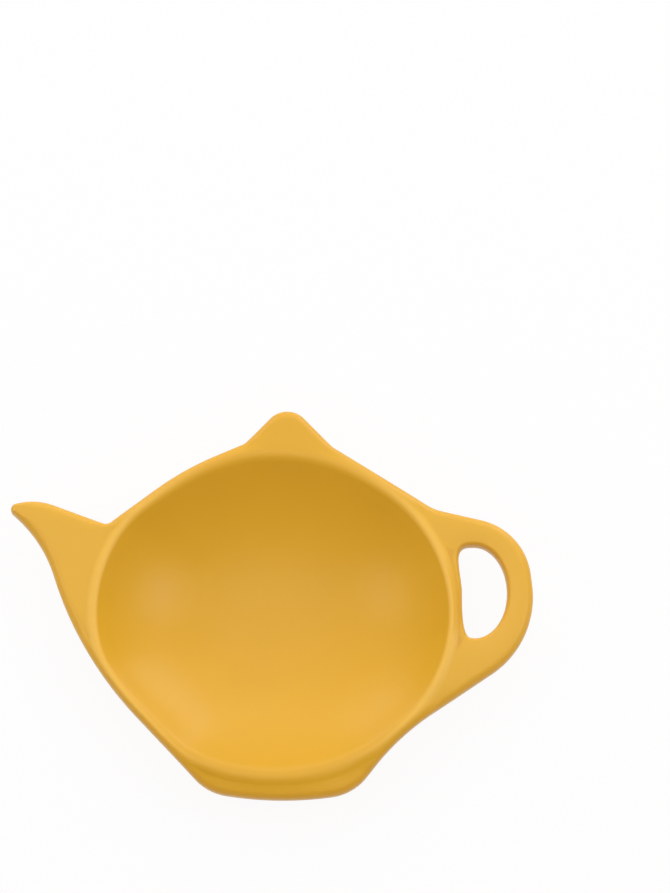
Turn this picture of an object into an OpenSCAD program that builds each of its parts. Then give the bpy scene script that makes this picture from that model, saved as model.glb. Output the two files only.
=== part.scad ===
// Teapot-shaped saucer for a used tea bag: a shallow oval bowl with a rolled rim, and a flat flange
// that draws the outline of a teapot round it. Glazed stoneware on a dry foot ring.
// Millimetres. X runs from the spout to the handle, Y from the base to the knob, Z is up.
// The origin is on the table, in the middle of the overall length and width.
// Bearings are degrees round the bowl's centre: 0 is the handle's side and 90 the knob's.

/* [Bowl] */
// Half length of the oval rim, along X
rim_half_length = 43; // [39:0.5:48]
// Half width of the oval rim, along Y
rim_half_width = 39.4; // [36:0.2:44]
// Height of the rim's ridge above the table
rim_height = 18; // [15:0.5:22]
// Height of the bowl's floor above the table
floor_height = 4.8; // [4:0.1:6.5]
// Half length of the flat floor in the middle of the bowl, along X
floor_half_length = 3.6; // [2:0.2:15]
// Half width of that floor, along Y
floor_half_width = 3.2; // [2:0.2:12]
// Slope of the wall just under the rim, in degrees
wall_slope = 40; // [36:1:48]
// Radius of the roll on the rim's inner side
roll_radius = 3.8; // [2:0.1:5]
// Least width in plan from the rim's ridge to the outline
lip = 1.3; // [0.9:0.1:2]

/* [Flange] */
// Thickness of the flange
flange_thickness = 5; // [4:0.2:6.5]
// Radius of the flange's upper edge
edge_radius = 2; // [1.2:0.1:2.4]
// Radius of the flange's lower edge
under_radius = 1.2; // [0.8:0.1:1.6]
// Width in plan of the rim's outer roll, from its ridge to the crease along a flange
crease_width = 1.7; // [1:0.1:2.4]
// Width in plan over which a widening flange parts from the rim
parting_width = 3.5; // [2:0.1:5]

/* [Handle] */
// Bearing of the handle's upper root
handle_upper_root_bearing = 32.8; // [30:0.1:36]
// Distance of the upper root's corner beyond the rim
handle_upper_root_out = 4.9; // [2.5:0.1:5.5]
// Radius in the upper root
handle_upper_root_radius = 11.5; // [6:0.5:18]
// Bearing of the handle's upper bend
handle_upper_bend_bearing = 18.9; // [17:0.1:22]
// Distance of the upper bend's corner beyond the rim
handle_upper_bend_out = 22; // [18:0.1:24]
// Radius of the upper bend
handle_upper_bend_radius = 14.5; // [11:0.1:16]
// Bearing of the handle's lower bend
handle_lower_bend_bearing = -7; // [-8:0.1:-4]
// Distance of the lower bend's corner beyond the rim
handle_lower_bend_out = 20.8; // [18:0.1:24]
// Radius of the lower bend
handle_lower_bend_radius = 22.5; // [15:0.5:23]
// Bearing of the handle's lower root
handle_lower_root_bearing = -41.5; // [-45:0.1:-39]
// Distance of the lower root's corner beyond the rim
handle_lower_root_out = -1.2; // [-2:0.1:1]
// Radius in the lower root
handle_lower_root_radius = 56; // [30:1:75]
// Step from the rim's ridge down to the handle's flange
handle_step = 0.4; // [0.2:0.1:1]
// Further fall of the handle's flange from the crease to its edge
handle_fall = 0.2; // [0:0.1:0.8]

/* [Handle eye] */
// Height of the eye, along Y
eye_height = 22.4; // [16:0.2:24]
// Width of the eye's flat side, from the line between its ends to the bowl
eye_flat_width = 3.6; // [2.5:0.1:4]
// Width of the eye's round side, from the line between its ends to the handle's bar
eye_round_width = 7.9; // [5:0.1:8.5]
// Distance from the rim's outermost point to the eye's flat side
eye_gap = 1.6; // [0.9:0.1:2.5]
// Offset of the eye's middle from the bowl's centre, along Y
eye_offset = 5.4; // [3.5:0.1:6.5]
// Squareness of the eye's flat side: 2 is an ellipse
eye_squareness = 3.2; // [2.5:0.1:4]
// Radius of the eye's upper edge
eye_edge_radius = 1.5; // [0.9:0.1:1.8]

/* [Knob] */
// Bearing of the knob's tip
knob_bearing = 86.1; // [84:0.1:94]
// Distance of the knob's corner beyond the rim
knob_out = 12.3; // [9:0.1:15]
// Radius of the knob's tip
knob_radius = 4.4; // [3:0.1:5.5]
// Bearing of the foot on the handle's side, counted from the tip
knob_near_foot_turn = 14.6; // [13:0.1:18]
// Distance of that foot's corner beyond the rim
knob_near_foot_out = 3.2; // [2:0.1:4.5]
// Bearing of the foot on the spout's side, counted from the tip
knob_far_foot_turn = 13.3; // [12:0.1:17]
// Distance of that foot's corner beyond the rim
knob_far_foot_out = 1.9; // [1:0.1:3.5]
// Radius in the knob's feet
knob_foot_radius = 4; // [2:0.1:6]
// Fall of the knob's flange from the rim to its edge
knob_fall = 0.3; // [0:0.1:0.8]

/* [Spout] */
// Bearing of the shoulder's bend between the knob and the spout
shoulder_bearing = 122; // [118:0.5:126]
// Distance of that bend beyond the rim
shoulder_out = -0.4; // [-1:0.1:1.5]
// Radius of that bend
shoulder_radius = 84; // [40:1:90]
// Bearing of the notch where the spout leaves the shoulder
notch_bearing = 151.8; // [149:0.1:153]
// Distance of the notch beyond the rim
notch_out = 3; // [2.5:0.1:4.5]
// Radius in the notch
notch_radius = 1.8; // [1:0.1:4]
// Bearing of the brow on the spout's upper edge
brow_bearing = 154.8; // [154.2:0.1:155.5]
// Distance of the brow beyond the rim
brow_out = 23.1; // [21:0.1:24]
// Radius of the brow
brow_radius = 16.5; // [6:0.5:18]
// Bearing of the spout's tip
tip_bearing = 157.4; // [156.8:0.1:158.2]
// Distance of the tip's corner beyond the rim
tip_out = 25.7; // [24.5:0.1:28]
// Radius of the tip
tip_radius = 1.2; // [1:0.1:1.8]
// Bearing of the throat on the spout's lower edge
throat_bearing = 160.2; // [159.2:0.1:162.5]
// Distance of the throat beyond the rim
throat_out = 14.5; // [14:0.1:17]
// Radius in the throat
throat_radius = 26; // [12:0.5:30]
// Bearing of the belly's bend under the spout
belly_bearing = 191; // [188:0.5:194]
// Distance of the belly's bend beyond the rim
belly_out = 4.5; // [4:0.1:6]
// Radius of the belly's bend
belly_radius = 100; // [50:1:110]
// Step from the rim's ridge down to the spout's flange
spout_step = 0.4; // [0.2:0.1:1]
// Further fall of the spout's flange from the crease to its edge
spout_fall = 0.2; // [0:0.1:0.8]

/* [Base] */
// Bearing of the base's corner on the spout's side
base_far_bearing = 251.6; // [248:0.1:255]
// Distance of that corner beyond the rim
base_far_out = 5; // [4:0.1:7]
// Radius of that corner
base_far_radius = 13; // [8:0.5:20]
// Bearing of the slight bow in the middle of the base
base_middle_bearing = 274.1; // [271:0.1:278]
// Distance of that bow beyond the rim
base_middle_out = 6.1; // [5:0.1:7]
// Radius of that bow
base_middle_radius = 68; // [30:1:80]
// Bearing of the base's corner on the handle's side
base_near_bearing = 294.8; // [288:0.1:295]
// Distance of that corner beyond the rim
base_near_out = 7.4; // [5.5:0.1:9]
// Radius of that corner
base_near_radius = 12; // [8:0.5:16]
// Step from the rim's ridge down to the base's ledge
base_step = 1; // [0.5:0.1:2]
// Further fall of the ledge from the crease to its edge
base_fall = 0.8; // [0:0.1:2]

/* [Underside] */
// Height of the glazed underside above the table
under_height = 1.2; // [0.8:0.1:1.8]
// Outer radius of the dry foot ring
foot_radius = 24; // [22:0.5:25]
// Width of the foot ring where it stands
foot_width = 3.2; // [2.4:0.1:4.5]
// Width that the foot ring gains on each side, from the table up to the clay
foot_flare = 0.4; // [0.1:0.1:0.6]
// Dry clay left between the foot ring and the glaze on each side
dry_band = 0.6; // [0.4:0.1:1]
// Slope of the bowl's outer wall under the flange, in degrees
under_slope = 52; // [48:1:60]
// Distance in plan from the rim's ridge in to the top of the outer wall
under_set = 0.4; // [0.1:0.1:1]
// Thickness of the glaze
glaze_thickness = 0.4; // [0.2:0.05:0.6]

/* [Smoothness] */
// Largest turn between two points on a rounded corner, in degrees
arc_step = 16; // [12:1:20]
// Longest run between two points on the outline
run_step = 7; // [5:0.5:8]
// Longest run between two points round the handle and the base
fine_step = 3; // [2.5:0.5:4]

/* [Hidden] */
glaze_colour = [0.89, 0.69, 0.28];
clay_colour = [0.87, 0.83, 0.76];
// How deep the foot ring is rooted in the body
foot_root = 1;
// Fillets share at most this part of the edge between two corners
fillet_room = 0.98;
// Parts of a narrow flange that the rim's outer roll and the rounded edge may take
crease_share = 0.3;
edge_share = 0.5;
// Part of a corner's radius that the rounded edge may take, and how fast it may widen from there
corner_share = 0.6;
edge_growth = 0.4;
// How fast the rim's outer roll may widen along the ridge
crease_growth = 0.3;
// How closely the eye's points crowd at its ends: under 1, and 0 spreads them evenly
eye_crowding = 0.85;
// Softness of the change where the outline pulls the rim in
lip_softness = 1;
$fn = 72;

// Small tools

function direction(bearing) = [cos(bearing), sin(bearing)];
function unit(v) = v / norm(v);
function mix(a, b, t) = a + (b - a) * t;
function smooth(t) = let (c = max(0, min(1, t))) c * c * (3 - 2 * c);
function soft_max(a, b) = (a + b + sqrt((a - b) * (a - b) + lip_softness * lip_softness)) / 2;
function at_height(p, z) = [p.x, p.y, z];
function bezier(a, b, c, t) = mix(mix(a, b, t), mix(b, c, t), t);

// Outline: corners [place, radius, step, fall, longest run], counter-clockwise from the handle's lower root

function oval_radius(bearing, half_length, half_width) =
    1 / norm([cos(bearing) / half_length, sin(bearing) / half_width]);
function rim_radius(bearing) = oval_radius(bearing, rim_half_length, rim_half_width);
function floor_radius(bearing) = oval_radius(bearing, floor_half_length, floor_half_width);
function beyond_rim(bearing, out) = direction(bearing) * (rim_radius(bearing) + out);

corners = [
    [beyond_rim(handle_lower_root_bearing, handle_lower_root_out),
        handle_lower_root_radius, handle_step, handle_fall, fine_step],
    [beyond_rim(handle_lower_bend_bearing, handle_lower_bend_out),
        handle_lower_bend_radius, handle_step, handle_fall, fine_step],
    [beyond_rim(handle_upper_bend_bearing, handle_upper_bend_out),
        handle_upper_bend_radius, handle_step, handle_fall, fine_step],
    [beyond_rim(handle_upper_root_bearing, handle_upper_root_out),
        handle_upper_root_radius, handle_step, handle_fall, run_step],
    [beyond_rim(knob_bearing - knob_near_foot_turn, knob_near_foot_out),
        knob_foot_radius, 0, knob_fall, run_step],
    [beyond_rim(knob_bearing, knob_out),
        knob_radius, 0, knob_fall, run_step],
    [beyond_rim(knob_bearing + knob_far_foot_turn, knob_far_foot_out),
        knob_foot_radius, 0, knob_fall, run_step],
    [beyond_rim(shoulder_bearing, shoulder_out),
        shoulder_radius, 0, knob_fall, run_step],
    [beyond_rim(notch_bearing, notch_out),
        notch_radius, spout_step, spout_fall, run_step],
    [beyond_rim(brow_bearing, brow_out),
        brow_radius, spout_step, spout_fall, run_step],
    [beyond_rim(tip_bearing, tip_out),
        tip_radius, spout_step, spout_fall, run_step],
    [beyond_rim(throat_bearing, throat_out),
        throat_radius, spout_step, spout_fall, run_step],
    [beyond_rim(belly_bearing, belly_out),
        belly_radius, spout_step, spout_fall, run_step],
    [beyond_rim(base_far_bearing, base_far_out),
        base_far_radius, base_step, base_fall, fine_step],
    [beyond_rim(base_middle_bearing, base_middle_out),
        base_middle_radius, base_step, base_fall, run_step],
    [beyond_rim(base_near_bearing, base_near_out),
        base_near_radius, base_step, base_fall, fine_step]
];
corner_count = len(corners);
function place(i) = corners[(i + corner_count) % corner_count][0];
function edge_length(i) = norm(place(i + 1) - place(i));
function to_last(i) = unit(place(i - 1) - place(i));
function to_next(i) = unit(place(i + 1) - place(i));
function half_angle(i) = acos(to_last(i) * to_next(i)) / 2;
function is_convex(i) = cross(-to_last(i), to_next(i)) > 0;

// Each fillet is held to the room on its two edges
wanted_trim = [for (i = [0 : corner_count - 1]) corners[i][1] / tan(half_angle(i))];
function edge_share_of(i) =
    let (a = (i + corner_count) % corner_count)
    min(1, fillet_room * edge_length(a) / (wanted_trim[a] + wanted_trim[(a + 1) % corner_count]));
trim = [for (i = [0 : corner_count - 1]) wanted_trim[i] * min(edge_share_of(i - 1), edge_share_of(i))];

// Step (item 2) and fall (item 3) change smoothly along edge i, from its corner to the next
function graded(i, item, p) =
    let (
        a = (i + corner_count) % corner_count,
        b = (a + 1) % corner_count
    )
    mix(corners[a][item], corners[b][item], smooth((p - place(a)) * to_next(a) / edge_length(a)));

// A station on the outline: [place, outward normal, corner radius or 0, step, fall]
function arc_stations(i) =
    let (
        radius = trim[i] * tan(half_angle(i)),
        centre = place(i) + unit(to_last(i) + to_next(i)) * radius / sin(half_angle(i)),
        first = place(i) + to_last(i) * trim[i] - centre,
        side = is_convex(i) ? 1 : -1,
        sweep = 180 - 2 * half_angle(i),
        start = atan2(first.y, first.x),
        count = max(ceil(sweep / arc_step), ceil(radius * sweep * PI / 180 / corners[i][4]), 2)
    )
    [for (k = [0 : count])
        let (
            out = direction(start + side * sweep * k / count),
            p = centre + out * radius,
            edge = 2 * k < count ? i - 1 : i
        )
        [p, out * side, radius, graded(edge, 2, p), graded(edge, 3, p)]];
function run_stations(i) =
    let (
        j = (i + 1) % corner_count,
        from = place(i) + to_next(i) * trim[i],
        to = place(j) + to_last(j) * trim[j],
        count = ceil(norm(to - from) / max(corners[i][4], corners[j][4])),
        out = [to_next(i).y, -to_next(i).x]
    )
    [for (k = [1 : 1 : count - 1])
        let (p = mix(from, to, k / count))
        [p, out, 0, graded(i, 2, p), graded(i, 3, p)]];
stations = [for (i = [0 : corner_count - 1]) each concat(arc_stations(i), run_stations(i))];
station_count = len(stations);
columns = [0 : station_count - 1];
outline = [for (s = stations) s[0]];
normals = [for (s = stations) s[1]];
bearings = [for (p = outline) atan2(p.y, p.x)];

// The bowl's centre lies beside the middle of the overall length and width
middle = [
    max([for (p = outline) p.x]) + min([for (p = outline) p.x]),
    max([for (p = outline) p.y]) + min([for (p = outline) p.y])
] / 2;

// Handle eye: one half faces the bowl and one the bar, both run from its lower to its upper end

eye_flat_x = rim_half_length + eye_gap;
eye_ends_x = eye_flat_x + eye_flat_width;
function eye_half(width, power, rise) =
    let (
        across = pow(max(0, 1 - pow(abs(rise), power)), 1 / power),
        slope = [pow(across, power - 1) / width, sign(rise) * pow(abs(rise), power - 1) * 2 / eye_height]
    )
    [[eye_ends_x + width * across, eye_offset + eye_height / 2 * rise], unit(slope)];
// The columns that close round its ends stand clear of its rounded edge
eye_reach = eye_height / 2 + 2.5 * eye_edge_radius;
eye_low_bearing = atan2(eye_offset - eye_reach, eye_flat_x);
eye_high_bearing = atan2(eye_offset + eye_reach, eye_flat_x);
eye_first = [for (i = columns) if (bearings[i] > eye_low_bearing) i][0] - 1;
eye_last = [for (i = columns) if (i > eye_first && bearings[i] >= eye_high_bearing) i][0];
eye_steps = eye_last - eye_first;
function in_eye(i) = i >= eye_first && i <= eye_last;
// Where a column's ray meets the flat side's line, from -1 to 1 between the eye's ends, and the rise of the
// eye's point in that column, which closes on the ends
function eye_meeting(i) = (eye_flat_x * tan(bearings[i]) - eye_offset) * 2 / eye_height;
function eye_rise(i) =
    let (
        met = eye_meeting(i),
        reach = abs(eye_meeting(met > 0 ? eye_last : eye_first))
    )
    met - sign(met) * (reach - 1) * pow(abs(met) / reach, eye_crowding * reach / (reach - 1));
function eye_flat_side(i) = eye_half(-eye_flat_width, eye_squareness, eye_rise(i));
function eye_round_side(i) = eye_half(eye_round_width, 2, eye_rise(i));

// Plan of each column: the rim's ridge, the width of flange outside it, and how far the flange has parted

ridge_gap = [for (i = columns) soft_max(norm(outline[i]) - rim_radius(bearings[i]), lip)];
ridge_radius = [for (i = columns) norm(outline[i]) - ridge_gap[i]];
function on_ray(i, radius) = direction(bearings[i]) * radius;
function ridge_place(i) = on_ray(i, ridge_radius[i]);
flange_gap = [for (i = columns)
    in_eye(i) ? norm(eye_flat_side(i)[0] - ridge_place(i)) : ridge_gap[i]];
parted = [for (i = columns) smooth((flange_gap[i] - lip) / parting_width)];
edge_limit = [for (i = columns)
    min(edge_radius, ridge_gap[i] * edge_share, stations[i][2] > 0 ? stations[i][2] * corner_share : edge_radius)];
edge_width = [for (i = columns)
    min([for (j = columns) edge_limit[j] + edge_growth * norm(outline[i] - outline[j])])];
crease_limit = [for (g = flange_gap) min(crease_width, crease_share * g)];
crease_reach = [for (i = columns)
    min([for (j = columns) crease_limit[j] + crease_growth * norm(ridge_place(i) - ridge_place(j))])];

function crease_level(i) = rim_height - stations[i][3] * parted[i];
function inner_level(i) = rim_height - (stations[i][3] + stations[i][4]) * parted[i];
function outer_level(i) =
    in_eye(i) && i != eye_first && i != eye_last ? rim_height - stations[i][3] - stations[i][4] : inner_level(i);

// Rows of the skin, from the bowl's floor over the rim and round the edge to the foot. Each is a point of
// column i on the skin that lies deep under the glaze's surface.

rim_start_run = roll_radius * sin(wall_slope);
rim_start_height = rim_height - roll_radius * (1 - cos(wall_slope));
wall_bend_run = rim_start_run + (rim_start_height - floor_height) / tan(wall_slope);
function wall_point(i, t, deep) =
    let (rim = rim_radius(bearings[i]))
    let (wall_foot = [rim - floor_radius(bearings[i]), floor_height])
    let (p = bezier(wall_foot, [wall_bend_run, floor_height], [rim_start_run, rim_start_height], t))
    at_height(on_ray(i, mix(rim, ridge_radius[i], t) - p.x), p.y - deep);
function roll_point(i, slope, deep) =
    at_height(on_ray(i, ridge_radius[i] - roll_radius * sin(slope)),
        rim_height - roll_radius * (1 - cos(slope)) - deep);

function edge_place(i, deep) = outline[i] - normals[i] * deep;
// Where a flange has not parted from the rim, the rim's ridge rounds straight down to the outline
function bare_rim(i, turn, deep) =
    at_height(mix(ridge_place(i), edge_place(i, deep), sin(turn)),
        rim_height - edge_radius + (edge_radius - deep) * cos(turn));
function blended(i, turn, flange_point, deep) =
    in_eye(i) ? flange_point : mix(bare_rim(i, turn, deep), flange_point, parted[i]);

crease_turns = [45, 90];
edge_turns = [0, 30, 60, 90];
under_turns = [0, 90];
split_rank = len(crease_turns) + 1;
bare_turn = 90 / (split_rank + len(edge_turns));
function crease_place(i, turn) = on_ray(i, ridge_radius[i] + crease_reach[i] * sin(turn));
function crease_point(i, turn, deep) =
    at_height(crease_place(i, turn), mix(rim_height, crease_level(i), 1 - cos(turn)) - deep);
function edge_point(i, turn, deep) =
    at_height(edge_place(i, edge_width[i] - (edge_width[i] - deep) * sin(turn)),
        outer_level(i) - edge_radius + (edge_radius - deep) * cos(turn));
function split_place(i) = mix(crease_place(i, 90), edge_place(i, edge_width[i]), 0.5);
function split_point(i, deep) =
    at_height(split_place(i), mix(crease_level(i), outer_level(i), 0.5) - deep);

under_width = [for (w = edge_width) min(under_radius, w)];
function under_level(i) = outer_level(i) - flange_thickness;
function inner_under_level(i) = inner_level(i) - flange_thickness;
function under_point(i, turn, deep) =
    at_height(edge_place(i, under_width[i] - (under_width[i] - deep) * cos(turn)),
        under_level(i) + under_radius - (under_radius - deep) * sin(turn));
bottom_radius = foot_radius + foot_flare + dry_band;
function wall_top_run(i) =
    under_set + (rim_height - flange_thickness - inner_under_level(i)) / tan(under_slope);
function under_wall_point(i, t, deep) =
    let (
        top = [ridge_radius[i] - wall_top_run(i), inner_under_level(i)],
        bend = [top.x - (top.y - under_height) / tan(under_slope), under_height],
        p = bezier(top, bend, [bottom_radius, under_height], t)
    )
    at_height(on_ray(i, p.x), p.y + deep);
function under_split_point(i, deep) =
    let (a = under_point(i, 90, deep), b = under_wall_point(i, 0, deep))
    mix(a, b, 0.5);

// The eye's rim: side 0 faces the bowl and side 1 the bar
function eye_spot(i, side) = side == 0 ? eye_flat_side(i) : eye_round_side(i);
function eye_level(i, side) = side == 0 ? inner_level(i) : outer_level(i);
function eye_edge(i, side) = side == 0 ? min(eye_edge_radius, edge_share * flange_gap[i]) : eye_edge_radius;
function eye_point(i, side, turn, deep) =
    let (spot = eye_spot(i, side), width = eye_edge(i, side))
    at_height(spot[0] + spot[1] * (width - (width - deep) * sin(turn)),
        eye_level(i, side) - edge_radius + (edge_radius - deep) * cos(turn));
function eye_under_point(i, side, turn, deep) =
    let (spot = eye_spot(i, side), width = min(under_radius, eye_edge(i, side)))
    at_height(spot[0] + spot[1] * (width - (width - deep) * cos(turn)),
        eye_level(i, side) - flange_thickness + under_radius - (under_radius - deep) * sin(turn));

wall_shares = [0, 0.25, 0.5, 0.75, 1];
under_shares = [0, 0.45, 1];
function top_split(i, side, deep) =
    in_eye(i) ? eye_point(i, side, 0, deep) : blended(i, bare_turn * split_rank, split_point(i, deep), deep);
function under_split(i, side, deep) =
    in_eye(i) ? eye_under_point(i, side, 90, deep) : under_split_point(i, deep);
function rows(deep) = [
    for (t = wall_shares) [for (i = columns) wall_point(i, t, deep)],
    [for (i = columns) roll_point(i, wall_slope / 2, deep)],
    [for (i = columns) roll_point(i, 0, deep)],
    for (k = [0 : len(crease_turns) - 1])
        [for (i = columns) blended(i, bare_turn * (k + 1), crease_point(i, crease_turns[k], deep), deep)],
    [for (i = columns) top_split(i, 0, deep)],
    [for (i = columns) top_split(i, 1, deep)],
    for (k = [0 : len(edge_turns) - 1])
        [for (i = columns)
            blended(i, bare_turn * (split_rank + 1 + k), edge_point(i, edge_turns[k], deep), deep)],
    for (turn = under_turns) [for (i = columns) under_point(i, turn, deep)],
    [for (i = columns) under_split(i, 1, deep)],
    [for (i = columns) under_split(i, 0, deep)],
    for (t = under_shares) [for (i = columns) under_wall_point(i, t, deep)]
];

// Rows that the eye parts, and the last row
top_inner_row = len(wall_shares) + 2 + len(crease_turns);
under_outer_row = top_inner_row + 2 + len(edge_turns) + len(under_turns);
last_row = under_outer_row + 1 + len(under_shares);
grid_points = (last_row + 1) * station_count;

// The eye's lining runs up its flat side and down its round side
loop = concat(
    [for (k = [0 : eye_steps]) [eye_first + k, 0]],
    [for (k = [eye_steps - 1 : -1 : 1]) [eye_first + k, 1]]
);
loop_count = len(loop);
lining_rows = 4;
function lining(deep) = [
    for (turn = [30, 60, 90]) [for (s = loop) eye_point(s[0], s[1], turn, deep)],
    [for (s = loop) eye_under_point(s[0], s[1], 0, deep)]
];
function skin_points(deep) = concat(
    [for (row = rows(deep)) each row],
    [for (row = lining(deep)) each row]
);
skin_count = grid_points + lining_rows * loop_count;

// Faces, clockwise seen from outside. A strip joins two rows of indices.

function strip(upper, lower) =
    let (n = len(upper))
    [for (k = [0 : n - 1])
        let (m = (k + 1) % n)
        each [[upper[k], lower[k], lower[m]], [upper[k], lower[m], upper[m]]]];
function grid_row(r) = [for (i = columns) r * station_count + i];
function loop_row(r) =
    r == 0 ? [for (s = loop) (top_inner_row + s[1]) * station_count + s[0]]
    : r > lining_rows ? [for (s = loop) (under_outer_row + 1 - s[1]) * station_count + s[0]]
    : [for (k = [0 : loop_count - 1]) grid_points + (r - 1) * loop_count + k];
function reversed(list) = [for (k = [len(list) - 1 : -1 : 0]) list[k]];
function flipped(faces) = [for (f = faces) reversed(f)];
function shifted(faces, by) = [for (f = faces) [for (v = f) v + by]];

floor_face = [reversed(grid_row(0))];
bottom_face = [grid_row(last_row)];
skin_faces = concat(
    floor_face,
    [for (r = [0 : last_row - 1])
        if (r != top_inner_row && r != under_outer_row)
            each strip(grid_row(r + 1), grid_row(r))],
    [for (r = [0 : lining_rows]) each strip(loop_row(r + 1), loop_row(r))]
);

// Sub-parts

module from_bowl_centre() {
    translate(-middle) children();
}

module foot_ring() {
    top = under_height + glaze_thickness;
    rotate_extrude()
        polygon([
            [foot_radius - foot_width, 0],
            [foot_radius, 0],
            [foot_radius + foot_flare, top],
            [foot_radius + foot_flare, top + foot_root],
            [foot_radius - foot_width - foot_flare, top + foot_root],
            [foot_radius - foot_width - foot_flare, top]
        ]);
}

module stoneware_body() {
    color(clay_colour)
        from_bowl_centre()
            union() {
                polyhedron(skin_points(glaze_thickness), concat(skin_faces, bottom_face));
                foot_ring();
            }
}

module outer_glaze() {
    inner_ring = [for (v = grid_row(last_row)) v + skin_count];
    color(glaze_colour)
        from_bowl_centre()
            polyhedron(
                concat(skin_points(0), skin_points(glaze_thickness)),
                concat(
                    skin_faces,
                    shifted(flipped(skin_faces), skin_count),
                    strip(inner_ring, grid_row(last_row))
                )
            );
}

module foot_well_glaze() {
    color(glaze_colour)
        from_bowl_centre()
            translate([0, 0, under_height])
                cylinder(r = foot_radius - foot_width - foot_flare - dry_band, h = glaze_thickness);
}

stoneware_body();
outer_glaze();
foot_well_glaze();
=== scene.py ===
"""Teapot-shaped saucer for a used tea bag: its glaze, the clay under it, and the studio it lies in."""

import math
from collections import namedtuple

import bmesh
import bpy
from bpy.props import FloatProperty, FloatVectorProperty, PointerProperty
from mathutils import Matrix, Vector


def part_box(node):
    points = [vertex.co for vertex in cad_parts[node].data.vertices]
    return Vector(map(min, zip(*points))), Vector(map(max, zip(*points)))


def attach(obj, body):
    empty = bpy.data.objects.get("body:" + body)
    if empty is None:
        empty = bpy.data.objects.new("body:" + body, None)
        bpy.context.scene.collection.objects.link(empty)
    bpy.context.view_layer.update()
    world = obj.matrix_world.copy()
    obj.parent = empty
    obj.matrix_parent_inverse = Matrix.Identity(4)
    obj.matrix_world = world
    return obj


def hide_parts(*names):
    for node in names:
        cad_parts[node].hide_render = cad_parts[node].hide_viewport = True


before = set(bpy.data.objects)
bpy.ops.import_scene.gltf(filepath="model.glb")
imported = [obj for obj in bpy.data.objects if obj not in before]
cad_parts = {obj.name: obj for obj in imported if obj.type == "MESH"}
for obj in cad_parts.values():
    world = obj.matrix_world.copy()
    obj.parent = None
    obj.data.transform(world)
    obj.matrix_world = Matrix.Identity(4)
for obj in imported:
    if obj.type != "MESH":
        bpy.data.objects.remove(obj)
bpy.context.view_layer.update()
WELL_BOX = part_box("foot_well_glaze")
BOWL_CENTRE = (WELL_BOX[0] + WELL_BOX[1]) / 2

bl_info = {
    "name": "Teapot saucer",
    "version": (1, 0, 0),
    "blender": (4, 5, 0),
    "location": "View3D > Sidebar > Saucer",
    "description": "Draws a glazed teapot-shaped saucer round its packed solids",
    "category": "Object",
}

MM = 0.001

# Corners of the outline, counter-clockwise: bearing round the bowl's centre in degrees, then in millimetres
# the distance beyond the rim, radius, step down from the rim's ridge, further fall to the edge, longest run
OUTLINE = (
    (-44.0, 0.9, 62.0, 0.4, 0.2, 1.0),  # handle, lower root
    (-5.8, 21.2, 22.5, 0.4, 0.2, 1.0),  # handle, lower bend
    (18.8, 21.3, 15.3, 0.4, 0.2, 1.0),  # handle, upper bend
    (33.6, 4.5, 12.5, 0.4, 0.2, 1.3),  # handle, upper root
    (70.7, 3.4, 4.0, 0.0, 0.3, 1.3),  # knob, foot towards the handle
    (86.4, 12.7, 5.7, 0.0, 0.3, 1.3),  # knob, tip
    (99.4, 2.6, 4.1, 0.0, 0.3, 1.3),  # knob, foot towards the spout
    (121.5, 1.0, 72.0, 0.0, 0.3, 1.3),  # shoulder
    (151.5, 3.2, 1.9, 0.4, 0.2, 1.0),  # notch behind the spout
    (153.9, 21.6, 14.3, 0.4, 0.2, 1.3),  # spout, brow
    (158.1, 27.0, 1.4, 0.4, 0.2, 1.3),  # spout, tip
    (161.9, 15.7, 32.7, 0.4, 0.2, 1.3),  # spout, throat
    (192.5, 4.6, 89.0, 0.4, 0.2, 1.3),  # belly
    (250.4, 5.9, 13.0, 0.7, 0.35, 1.3),  # base, corner towards the spout
    (273.0, 6.1, 84.0, 0.6, 0.4, 1.3),  # base, bow in the middle
    (294.0, 7.3, 12.8, 0.6, 0.4, 1.0),  # base, corner towards the handle
)
NOTCH, TIP, BELLY = 8, 10, 12  # places in OUTLINE of the spout's two ends and its tip
ARC_STEP = math.radians(6)  # largest turn between two points of an arc
ARC_LEAST_STEPS = 2
FILLET_ROOM = 0.98  # share of a side that the arcs at its two ends may take
LEAST_TURN = 1e-6  # turn, in radians, below which the outline counts as straight

# Spout
SPOUT_FAN = 0.3  # share of the ridge along the spout that is given to the spout's upper edge
SPOUT_EASING = 8  # passes that ease the columns' spread there, and columns beyond it that they reach
SPOUT_FLAT = 5.0 * MM  # least width of flange whose flat is filled as one face

# Flange and rim
LIP_SOFTNESS = 1.0 * MM  # softness with which the rim's ridge gives way to a close outline
CREASE_SHARE = 0.4  # largest share of the flange for the rim's outer roll
CREASE_GROWTH = 0.3  # fastest widening of that roll along the rim
SHARPENING = 2.0  # how fast a step beyond the soft one turns that roll's foot into a crease
EDGE_SHARE = 0.45  # largest share of the flange for a rounded edge
CORNER_SHARE = 0.6  # largest share of a corner's radius for it
TONGUE_SHARE = 0.3  # largest share of the distance across a tongue, such as the spout, for it
EDGE_GROWTH = 0.4  # fastest widening of that edge along the outline
FACING_AWAY = -0.3  # cosine between two normals below which they face away from each other
LEAST_FLAT = 0.1 * MM  # least width of the flat between the crease and the rounded edge
LEAST_FALL_RUN = 1.0 * MM  # least width over which that flat falls
FLAT_MARGIN = 0.2  # largest share of the flat for the strip along each of its sides
FLAT_SHARE = 0.4  # largest width of such a strip, as a share of the rounded edge's width
FLANGE_PAINTED_LIGHT = 0.3  # painted light on the flange, against 1 for the painted highlight on the rim's ridge

# Handle's eye
BOWL_SIDE, BAR_SIDE = 0, 1
ROUND_POWER = 2.0  # power of the curve on the bar's side, where 2 is an ellipse
LEAN_POWER = 1.5  # power with which the lean grows towards the far end
EYE_CLEARANCE = 3.75  # distance from the eye's ends to the columns that close round them, in edge radii
EYE_CROWDING = 0.85  # share by which the columns close up from the eye's middle to its ends

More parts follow.
